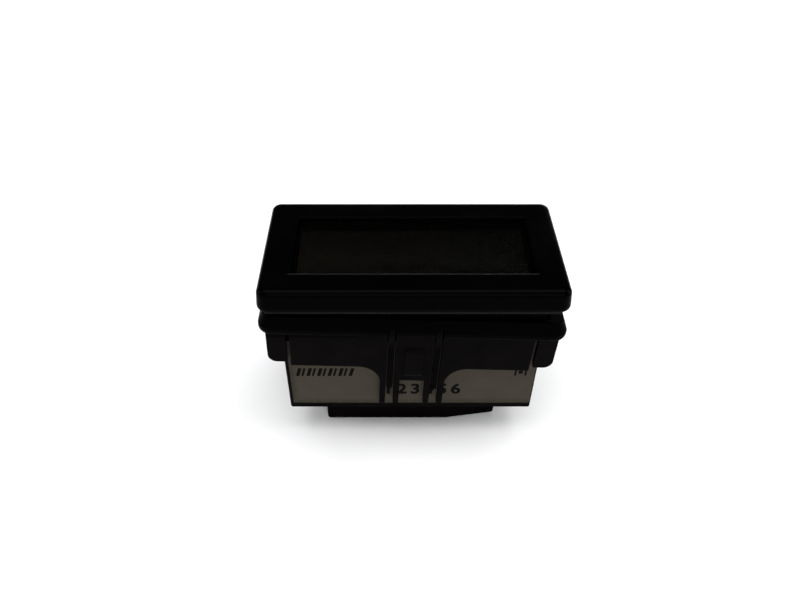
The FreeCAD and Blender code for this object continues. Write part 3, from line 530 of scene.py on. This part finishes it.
# ------------------------------------------------------------------ the display's resting segments
DIGITS = 7
DIGIT_TALL = 8.4 * MM
DIGIT_WIDE = 3.9 * MM
DIGIT_LEAN = 0.12
SEGMENT_WIDE = 0.85 * MM
SEGMENT_GAP = 0.12 * MM
SEGMENT_LIFT = 0.004 * MM
SEGMENT_THICK = 0.02 * MM
DIGITS_SPAN = 0.86
POINT_ASIDE = 0.05 * MM
POINT_RISE = 0.45 * MM
POINT_SIZE = 0.7 * MM
POINT_ROUND = 0.34 * MM


def segment_outlines():
    """The seven bars of one digit, as hexagons around (0, 0), upright."""
    half_wide = DIGIT_WIDE / 2 - SEGMENT_WIDE / 2
    half_tall = DIGIT_TALL / 2 - SEGMENT_WIDE / 2
    tip = SEGMENT_WIDE / 2

    def bar(start, end):
        start, end = Vector(start), Vector(end)
        along = (end - start).normalized()
        across = Vector((-along.y, along.x)) * tip
        start = start + along * SEGMENT_GAP
        end = end - along * SEGMENT_GAP
        return [start, start + along * tip + across, end - along * tip + across,
                end, end - along * tip - across, start + along * tip - across]

    corners = [(x * half_wide, y * half_tall) for y in (1, 0, -1) for x in (-1, 1)]
    pairs = ((0, 1), (2, 3), (4, 5), (0, 2), (1, 3), (2, 4), (3, 5))
    return [bar(corners[a], corners[b]) for a, b in pairs]


def make_segments():
    """The unlit digits and their decimal points, lying on the display film."""
    maker = bmesh.new()
    top = film.high.z + SEGMENT_LIFT
    pitch = (mask.size.x * DIGITS_SPAN) / DIGITS

    def to_face(u, v, height):
        return (u + v * DIGIT_LEAN, v, top + height)

    for index in range(DIGITS):
        x = film.middle.x + pitch * (index - (DIGITS - 1) / 2)
        for outline in segment_outlines():
            add_prism(maker, [(x + p.x, film.middle.y + p.y) for p in outline], to_face, SEGMENT_THICK)
        point_x = x + pitch / 2 + POINT_ASIDE
        point_y = -DIGIT_TALL / 2 + POINT_RISE
        point = rounded_bar(point_x, point_y, POINT_SIZE, POINT_SIZE, POINT_ROUND)
        add_prism(maker, point, to_face, SEGMENT_THICK)
    material = display_film("segment_film", (0.0006, 0.0005, 0.0003), (0.0011, 0.0011, 0.0007))
    new_piece("lcd_segments", maker, MODULE, material)


# ------------------------------------------------------------------ printing on the label
FONT_SIZE_PER_TALL = 1.38
WELD = 0.001 * MM


def add_digits(name, text, place, turn, tall, depth, material, spread=0.0):
    """Numerals as closed solids, laid at a place with a rotation; spread makes their strokes bolder."""
    curve = bpy.data.curves.new(name, "FONT")
    curve.body = text
    curve.size = tall * FONT_SIZE_PER_TALL
    curve.align_x = "CENTER"
    curve.align_y = "CENTER"
    curve.extrude = depth / 2
    curve.offset = spread
    curve.resolution_u = 4
    writing = bpy.data.objects.new(name + "_curve", curve)
    bpy.context.scene.collection.objects.link(writing)
    bpy.context.view_layer.update()
    mesh = bpy.data.meshes.new_from_object(writing)
    bpy.data.objects.remove(writing)
    mesh.transform(Matrix.Translation(place) @ turn)
    maker = bmesh.new()
    maker.from_mesh(mesh)
    bmesh.ops.remove_doubles(maker, verts=maker.verts, dist=WELD)
    new_piece(name, maker, MODULE, material)
    bpy.data.meshes.remove(mesh)


LABEL_DIGIT_TALL = 2.5 * MM
LABEL_DIGIT_RISE = 3.6 * MM
LABEL_DIGIT_PITCH = 2.3 * MM
LABEL_DIGIT_START = -4.0 * MM
INK_DEPTH = 0.014 * MM
INK_SPREAD = 0.11 * MM
STRIPES = 11
STRIPES_START = 1.0 * MM
STRIPES_RISE = 7.0 * MM
STRIPE_PITCH = 0.88 * MM
STRIPE_WIDTHS = (0.58 * MM, 0.38 * MM)
STRIPE_TALL = 1.9 * MM
STRIPE_LEAN = 0.5 * MM
MARK_FROM_RIGHT = 2.4 * MM
MARK_HALF = 0.85 * MM
MARK_BAR = 0.32 * MM
MARK_TALL = 1.7 * MM
MARK_ROUND = 0.1 * MM
MARK_SQUARE = 0.75 * MM


def make_label_print():
    """Generic printing: a bold row of terminal numbers, a striped panel and a small plain mark."""
    dark = ink("label_ink", (0.0022, 0.0020, 0.0018))
    face_y = label.low.y
    upright = Matrix.Rotation(math.pi / 2, 4, "X")
    height = label.low.z + LABEL_DIGIT_RISE
    for index in range(TERMINALS):
        x = label.middle.x + LABEL_DIGIT_START + index * LABEL_DIGIT_PITCH
        place = Vector((x, face_y - INK_DEPTH / 2, height))
        add_digits(f"label_digit_{index + 1}", str(index + 1), place, upright, LABEL_DIGIT_TALL, INK_DEPTH,
                   dark, INK_SPREAD)

    maker = bmesh.new()

    def to_label(u, v, out):
        return (u, face_y - out, v)

    stripe_low = label.low.z + STRIPES_RISE
    stripe_high = stripe_low + STRIPE_TALL
    for index in range(STRIPES):
        x = label.low.x + STRIPES_START + index * STRIPE_PITCH
        long = STRIPE_WIDTHS[index % 2]
        top_x = x + STRIPE_LEAN
        bottom = [(x, stripe_low), (x + long, stripe_low)]
        outline = bottom + [(top_x + long, stripe_high), (top_x, stripe_high)]
        add_prism(maker, outline, to_label, INK_DEPTH)
    mark_x = label.high.x - MARK_FROM_RIGHT
    mark_z = stripe_low + STRIPE_TALL / 2
    for side in (-1, 1):
        bar = rounded_bar(mark_x + side * MARK_HALF, mark_z, MARK_BAR, MARK_TALL, MARK_ROUND, 2)
        add_prism(maker, bar, to_label, INK_DEPTH)
    square = rounded_bar(mark_x, mark_z, MARK_SQUARE, MARK_SQUARE, 2 * MARK_ROUND, 3)
    add_prism(maker, square, to_label, INK_DEPTH)
    new_piece("label_marks", maker, MODULE, dark)


# ------------------------------------------------------------------ raised numbers by the terminals
COVER_DIGIT_TALL = 1.5 * MM
COVER_DIGIT_THICK = 0.16 * MM
COVER_DIGIT_SUNK = 0.02 * MM
COVER_DIGIT_SHIFT = 0.1 * MM


def make_cover_numbers(materials):
    """Moulded numerals on the cover's underside, beside the screws."""
    down = Matrix.Rotation(math.pi, 4, "X")
    y = (cover.low.y + block.low.y) / 2 + COVER_DIGIT_SHIFT
    z = cover.low.z - COVER_DIGIT_THICK / 2 + COVER_DIGIT_SUNK
    for number, screw in enumerate(screws, start=1):
        place = Vector((screw.middle.x, y, z))
        add_digits(f"cover_digit_{number}", str(number), place, down, COVER_DIGIT_TALL,
                   COVER_DIGIT_THICK, materials["case_plastic"])


# ------------------------------------------------------------------ build
materials = make_materials()
for name, node in NODES.items():
    node.data.materials.clear()
    node.data.materials.append(materials[SLOT_OF[name]])

make_camera()
make_studio()
make_segments()
make_label_print()
make_cover_numbers(materials)
